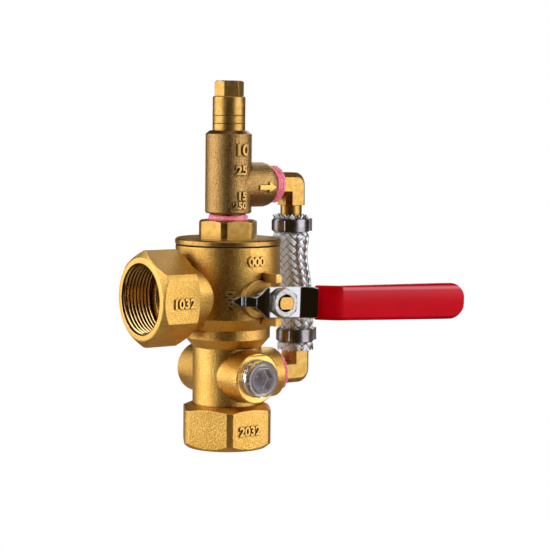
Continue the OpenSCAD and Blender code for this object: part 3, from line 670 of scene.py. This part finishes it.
# The socket glows though it is no lamp, and its inner edges glow brighter: a painted glow.
glow = clear.mix(floor_of, (0.10, 0.083, 0.078), (0.0, 0.0, 0.0))
glow = clear.mix(deep, glow, (0.012, 0.012, 0.013))
glow = clear.mix(edges * out_sq.rise(66e-6, 60e-6), glow, (0.62, 0.60, 0.60))
# All edges are painted white: a painted highlight.
clear.set(Base_Color=clear.mix(edges * 0.9, colour, (1.0, 1.0, 1.0)), Emission_Color=glow,
          Metallic=(edges * 0.6 + boss_side * (1.0 - painted_dark_streak)).clamp() * 0.9,
          Emission_Strength=1.0, Roughness=0.07 + haze.rise(0.5, 0.8) * 0.10,
          Normal=clear.bump(flow * 3.0 + haze * 0.1, 0.00010))
spots, faces = plug_mesh()
front = [Vector((x, -z, plug_height + y)) for x, y, z in spots]
front_plug = new_piece("sight_plug_glass_front", front, faces, clear.made, "valve",
                       "plug_clear")
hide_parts("sight_plug_front")
rear = [Vector((x, z, plug_height - y)) for x, y, z in spots]
rear_plug = new_piece("sight_plug_glass_rear", rear, faces, clear.made, "valve", "plug_clear")
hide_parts("sight_plug_rear")
dress(clear.made, "sight_plug_front", "sight_plug_rear")


# Relief valve body: cast in a darker bronze and blasted, with its outlet on the hose
# side. An arrow for the flow and four plain numbers are raised on it.
bronze = Finish("relief_bronze", Metallic=1.0)
patches = bronze.noise(70.0, 3.0)
mottle = bronze.noise(1250.0, 3.0, 0.65)
grain = bronze.noise(2000.0, 2.0, 0.6)
pits = bronze.cells(1200.0)
soft, edges = bronze.soft_edges(0.0006)
out_of_shade = bronze.hollows(0.010)
faced = bronze.z.rise(0.1866, 0.1868)
tone = (mottle * 0.9 + patches * 0.3 + grain * 0.5 - 0.35).rise(0.32, 0.68)
colour = bronze.mix(tone, (0.32, 0.175, 0.052), (0.60, 0.385, 0.155))
# Edges are painted lighter as a painted highlight; corners are painted darker and narrow crevices
# near black as painted shade.
colour = bronze.mix(edges * 0.6, colour, (0.95, 0.69, 0.32))
colour = bronze.mix(out_of_shade.rise(0.0, 0.55), (0.20, 0.09, 0.018), colour)
colour = bronze.mix(bronze.hollows(0.0016).rise(0.40, 0.92), (0.04, 0.016, 0.004), colour)
bronze.set(Base_Color=colour, Roughness=0.285 + mottle * 0.12 - edges * 0.06 - faced * 0.04,
           Normal=bronze.bump((grain * 0.5 + pits * 0.45 + mottle) * (1.0 - faced * 0.8),
                              0.00026, soft))
dress(bronze.made, "relief_body")

for name, text, height, azimuth, z in (
        ("numeral_rating", "10", 0.0066, 0, 0.1769),
        ("numeral_setting", "25", 0.0054, -1, 0.1651),
        ("numeral_size", "15", 0.0046, 0, 0.1500),
        ("numeral_lot", "250", 0.0040, -5, 0.1444)):
    numeral(name, text, height, 0.0009, "relief_bronze", around_z(0.0138, azimuth, z))


def around_x(r, x, z_axis, lift):
    """Onto a cylinder about an axis along X, lift above the axis."""
    def put(u, v, w):
        a = (v + lift) / r
        return Vector((x + u, -(r + w) * cos(a), z_axis + (r + w) * sin(a)))
    return put


def arrow_mesh(to_place):
    """Rows across the arrow from tail to point, its edges sunk into the casting."""
    tail, neck, point, steps = -0.0060, 0.0009, 0.00596, 11
    shaft, head, proud, sunk = 0.00135, 0.0033, 0.0009, -0.0006
    along = [(tail, shaft)] * 2
    along += [(tail + 0.0006 * i, shaft) for i in range(1, steps + 1)] + [(neck, shaft)]
    along += [(neck + (point - neck) * i / steps, head * (1 - i / steps)) for i in range(steps)]
    along += [(point, 0.00003)] * 2
    section = [(-1.0, sunk)] + [(-1 + i / 5, proud) for i in range(11)] + [(1.0, sunk)]
    spots, faces = [], []
    for i, (x, half) in enumerate(along):
        closing = i in (0, len(along) - 1)
        spots += [to_place(x, half * side, sunk if closing else lift) for side, lift in section]
    n = len(section)
    for i in range(len(along) - 1):
        faces += [(i * n + k, (i + 1) * n + k, (i + 1) * n + k + 1, i * n + k + 1)
                  for k in range(n - 1)]
    return spots, faces


upper_outlet, lower_outlet = 0.1563, 0.0423  # heights of the two elbows' axes
spots, faces = arrow_mesh(around_x(0.0133, 0.0193, upper_outlet, -0.0012))
new_piece("flow_arrow", spots, faces, marked.made, "valve", "cast_brass", smooth=False)


# Adjusting cap: turned brass, darkened a little, with two scribed rings that show how far
# it is screwed in, and a hexagon on top.
capped = Finish("cap_brass", Metallic=1.0)
rings = capped.noise(1100.0, 2.0, at=capped.stretched(0.2, 0.2, 6.0))
mottle = capped.noise(350.0, 2.0)
soft, edges = capped.soft_edges(0.0005)
line_high = 1.0 - (capped.z - 0.1975).absolute().rise(0.00012, 0.00030)
line_low = 1.0 - (capped.z - 0.1928).absolute().rise(0.00012, 0.00030)
scribed = line_high + line_low
colour = capped.mix(mottle.rise(0.3, 0.7), (0.50, 0.295, 0.070), (0.64, 0.41, 0.128))
# Edges are painted lighter: a painted highlight.
colour = capped.mix(edges * 0.5, colour, (0.96, 0.70, 0.30))
colour = capped.mix(scribed.clamp() * 0.8, colour, (0.16, 0.075, 0.02))
# Corners are painted darker: painted shade.
colour = capped.mix(capped.hollows(0.006).rise(0.12, 0.8), (0.26, 0.12, 0.02), colour)
capped.set(Base_Color=colour, Roughness=0.35 + mottle * 0.08,
           Normal=capped.bump(rings * 0.4 - scribed * 4.0, 0.00006, soft))
dress(capped.made, "adjusting_cap")


# Relief spring: round steel wire wound with closed end coils, which gives way when the poppet
# lifts. It is drawn as a lower and an upper part, and neither moves.
def coil_mesh(first_turn, last_turn):
    """The wire between two turns of the coil, counted from its lower end."""
    low, high, wire_r, wound_r, turns = 0.1545, 0.1798, 0.0011, 0.0066, 7
    steps, sides = 30, 12
    spots = []
    count = round((last_turn - first_turn) * steps)
    for i in range(count + 1):
        turn = first_turn + i / steps
        climb = min(max((turn - 1) / (turns - 2), 0), 1) * (high - low - 6 * wire_r)
        z = low + wire_r + climb + 2 * wire_r * (min(turn, 1) + max(turn - turns + 1, 0))
        for k in range(sides):
            b = 2 * pi * k / sides
            r = wound_r + wire_r * cos(b)
            spots.append((r * cos(2 * pi * turn), r * sin(2 * pi * turn), z + wire_r * sin(b)))
    return spots, [face[::-1] for face in tube_faces(count + 1, sides)]


sprung = Finish("spring_steel", Metallic=1.0)
wire = sprung.noise(800.0, 3.0)
sprung.set(Base_Color=sprung.mix(wire, (0.45, 0.45, 0.46), (0.62, 0.62, 0.63)),
           Roughness=0.25 + wire * 0.15, Normal=sprung.bump(wire, 0.00002))
for name, turns, bodies, low, high in (
        ("relief_spring_lower", (0, 4.4), ("poppet", "valve"), 0.1567, 0.1706),
        ("relief_spring_upper", (4.4, 7), ("valve", "button"), 0.1706, 0.1776)):
    coil = new_piece(name, *coil_mesh(*turns), sprung.made, None, "spring_steel")
    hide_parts("relief_spring")
    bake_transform(coil)
dress(sprung.made, "relief_spring")


# Sealant: pink thread paste squeezed out of three joints in strings as the fittings were
# screwed home. It stays a little wet and glossy.
def paste_rope(path_r, along, thick, phase, seed, turns=1.0, sway=0.0004, steps=150):
    """A string of paste wound around an axis: places as (radius, angle, height, size)."""
    taper, blunt = 8, 0.15
    out = []
    for i in range(steps + 1):
        t = i / steps
        a = phase + 2 * pi * turns * t
        slow = noise.noise(Vector((cos(a) * 1.9 + seed, sin(a) * 1.9, seed * 3.1)))
        quick = noise.noise(Vector((cos(a) * 3.7 - seed, sin(a) * 3.7, seed * 1.7)))
        size = thick * (1.0 + 0.30 * quick) * min(1.0, taper * t + blunt, taper * (1 - t) + blunt)
        drift = 0.00045 * quick + sway * sin(2 * a + seed)
        out.append((path_r + 0.00030 * slow, a, along + drift, size))
    return out


def paste(name, ropes, to_place):
    """One piece of several strings, wound about the axis that to_place turns them to."""
    around = 10
    spots, faces = [], []
    for rope in ropes:
        faces += tube_faces(len(rope), around, first=len(spots))
        for r, a, s, size in rope:
            for k in range(around):
                b = 2 * pi * k / around
                out = r + size * cos(b)
                spots.append(to_place(Vector((out * cos(a), out * sin(a), s + size * sin(b)))))
    return new_piece(name, spots, faces, pink.made, "valve", "sealant_pink")


pink = Finish("sealant_pink", Roughness=0.33, Coat_Weight=0.3, Coat_Roughness=0.2,
              Subsurface_Weight=0.25, Subsurface_Radius=(0.0012, 0.0004, 0.0005))
smear = pink.noise(500.0, 3.0)
# The paste glows though it is no lamp: a painted glow. It glows paler on the joints above 0.11 m,
# which the mask named thick marks by height.
thick = pink.z.rise(0.08, 0.11)
glow = pink.mix(smear.rise(0.3, 0.7), (1.0, 0.10, 0.20), (1.0, 0.26, 0.36))
glow = pink.mix(thick * 0.30, glow, (1.0, 0.62, 0.72))
# Between the strings the paste is painted darker and glows less: painted shade.
paste_out_of_shade = pink.hollows(0.0008).rise(0.25, 0.85)
colour = pink.mix(smear.rise(0.3, 0.7), (0.92, 0.10, 0.22), (1.0, 0.33, 0.48))
pink.set(Base_Color=pink.mix(paste_out_of_shade, (0.50, 0.010, 0.045), colour),
         Emission_Color=pink.mix(paste_out_of_shade, (0.30, 0.0, 0.02), glow),
         Emission_Strength=0.26, Normal=pink.bump(smear, 0.00025))
dress(pink.made, "inlet_sealant", "upper_sealant")
paste("upper_paste", [paste_rope(0.0101, 0.0294, 0.0009, 0.3, 1.0),
                      paste_rope(0.0103, 0.0306, 0.0009, 2.2, 2.0, 1.15),
                      paste_rope(0.0102, 0.0318, 0.0009, 3.4, 2.6),
                      paste_rope(0.0102, 0.0330, 0.0009, 5.1, 3.3, 1.1),
                      paste_rope(0.0096, 0.0341, 0.0008, 4.0, 3.0)],
      lambda p: Vector((p.z, p.x, upper_outlet + p.y)))
ring = paste("lower_paste", [paste_rope(0.0113, 0.0341, 0.0011, 1.3, 4.0, 1.0, 0.0003),
                             paste_rope(0.0111, 0.0353, 0.0012, 3.1, 5.0, 1.15, 0.0006),
                             paste_rope(0.0108, 0.0364, 0.0011, 5.0, 6.0, 1.0, 0.0004),
                             paste_rope(0.0092, 0.0352, 0.0016, 2.0, 2.0)],
             lambda p: Vector((p.z, p.x, lower_outlet + p.y)))
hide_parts("lower_sealant")
paste("inlet_paste", [paste_rope(0.0109, 0.1363, 0.0009, 0.0, 7.0),
                      paste_rope(0.0108, 0.1372, 0.0009, 2.5, 8.0, 1.2),
                      paste_rope(0.0105, 0.1380, 0.0007, 4.4, 9.0)],
      lambda p: p)


# Elbows: machined from square brass bar with its edges broken, bored from both ends and
# turned at one end into a hose barb.
dress(turned.made, "upper_elbow", "lower_elbow")


# Hose: a rubber tube inside a braid of fine stainless wires. Fourteen carriers of five
# wires run each way, two over and two under, and their cut ends fray past the clamps.
low_end, high_end = 0.0553, 0.1371  # heights of the braid's two ends
low_x, high_x = 0.0504, 0.0462  # how far out they lie
stands, bow = 0.022, 0.0012  # each end's straight stretch, and the bow between them
braid_mid, braid_swell, braid_pinch = 0.0101, 0.0110, 0.0101  # radii
clamp_at, half_clamp, easing = (0.0640, 0.1313), 0.0038, 0.0020
past_clamp, swell_at = 0.0044, 0.007  # from the middle of a clamp


def hose_x(z):
    """Where the hose's middle is at a height: a slight S with a bow."""
    t = min(max((z - low_end - stands) / (high_end - low_end - 2 * stands), 0.0), 1.0)
    return low_x + (high_x - low_x) * t * t * (3 - 2 * t) + bow * (1 - cos(2 * pi * t)) / 2


def hose_r(z):
    """How thick the braid is at a height: pinched at the clamps, swollen beside them."""
    near = min(abs(z - one) for one in clamp_at)
    if z > clamp_at[1] + half_clamp or z < clamp_at[0] - half_clamp:
        flare = min((near - half_clamp) / easing, 1.0)
        return braid_pinch + (braid_swell - braid_pinch) * flare
    if near < past_clamp:
        return braid_pinch
    ease = min((near - past_clamp) / easing, 1.0)
    free = braid_mid + (braid_swell - braid_mid) * exp(-((near - swell_at) / swell_at) ** 2)
    return braid_pinch + (free - braid_pinch) * ease


def braid_mesh():
    """A ribbon of parallel wires for every carrier, woven over and under the others."""
    carriers, wires, per_wire, steps = 14, 5, 4, 136
    wire_r, half_ply, sink = 0.00026, 0.00042, 0.00016
    trim, uneven, fraying = 0.0003, 0.0008, 0.003
    lean = pi / 4
    rate = tan(lean) / braid_mid
    columns = wires * per_wire + 1
    spots, faces = [], []
    for hand in (1, -1):
        for c in range(carriers):
            low_cut = uneven * noise.noise(Vector((c * 1.7, hand * 3.0, 0.5)))
            high_cut = uneven * noise.noise(Vector((c * 2.3, hand * 5.0, 7.5)))
            z0, z1 = low_end + trim + low_cut, high_end - trim + high_cut
            base = len(spots)
            for i in range(steps + 1):
                z = z0 + (z1 - z0) * i / steps
                a_mid = 2 * pi * c / carriers + hand * (z - low_end) * rate
                cell = a_mid * carriers / pi
                over = max(min(cos(pi / 2 * (cell - 0.5)) * hand * 1.5, 1.0), -1.0)
                r_here = hose_r(z)
                loose = max(0.0, low_end + fraying - z, z - high_end + fraying) / fraying
                width = wires * wire_r * 2 * (r_here / braid_mid) * (1.0 + 0.25 * loose)
                for k in range(columns):
                    across = k / (columns - 1) - 0.5
                    side = across * width
                    z_wire = z + side * sin(lean)
                    a = a_mid - hand * side * cos(lean) / r_here
                    stray = noise.noise(Vector((c * 3.1 + hand, k // per_wire * 1.3, z * 300)))
                    lift = half_ply * (over - 1.0) - sink + wire_r * abs(sin(pi * k / per_wire))
                    lift += 0.00003 * stray + 0.0005 * loose * abs(stray)
                    lift -= 0.00022 * (2 * across) ** 4
                    r = hose_r(min(max(z_wire, low_end), high_end)) + lift
                    spots.append(Vector((hose_x(z_wire) + r * cos(a), r * sin(a), z_wire)))
            for i in range(steps):
                for k in range(columns - 1):
                    one = base + i * columns + k
                    quad = (one, one + 1, one + columns + 1, one + columns)
                    faces.append(quad if hand > 0 else quad[::-1])
    return spots, faces


woven = Finish("braid_steel")
fleck = woven.noise(900.0, 3.0)
deep = woven.hollows(0.0010)
sheltered = (woven.x * 0.813 - woven.y * 0.582).rise(0.0405, 0.0325)
# Between the wires the braid is painted near black: painted shade. On the side sheltered from the
# lights it gets a painted glow and less metal, to lighten its shade.
woven.set(Base_Color=woven.mix(deep.rise(0.35, 0.92), (0.05, 0.046, 0.044),
                               woven.mix(fleck, (0.78, 0.82, 0.90), (0.88, 0.92, 1.0))),
          Metallic=1.0 - sheltered * 0.55, Roughness=0.24 + fleck * 0.12,
          Emission_Color=woven.mix(sheltered * deep.rise(0.55, 0.96), (0.0, 0.0, 0.0),
                                   (0.19, 0.215, 0.245)),
          Emission_Strength=1.0, Normal=woven.bump(fleck, 0.00003))
spots, faces = braid_mesh()
braid = new_piece("woven_braid", spots, faces, woven.made, "valve", "braid_steel")
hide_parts("hose_braid")
dress(woven.made, "hose_braid")


# Clamps: stainless bands closed by pinching an ear, finely scratched around the band.
# They mirror the dark room between the lights, and their ears are painted darkest: a painted dark
# reflection.
band = Finish("clamp_steel", Metallic=1.0)
lines = band.noise(500.0, 4.0, 0.7, at=band.stretched(0.4, 0.4, 9.0))
tarnish = band.noise(200.0, 2.0)
soft, edges = band.soft_edges(0.0003)
ear = (band.x + band.z * 0.0624 - 0.0544).rise(0.0118, 0.0124)
colour = band.mix(tarnish.rise(0.3, 0.7), (0.25, 0.235, 0.27), (0.36, 0.34, 0.38))
# The ears are painted near black, but not at their edges: a painted dark reflection.
band.set(Base_Color=band.mix(ear * (1.0 - edges), colour, (0.085, 0.08, 0.085)),
         Roughness=0.20 + lines * 0.10, Normal=band.bump(lines, 0.00003, soft))
dress(band.made, "upper_clamp", "lower_clamp")
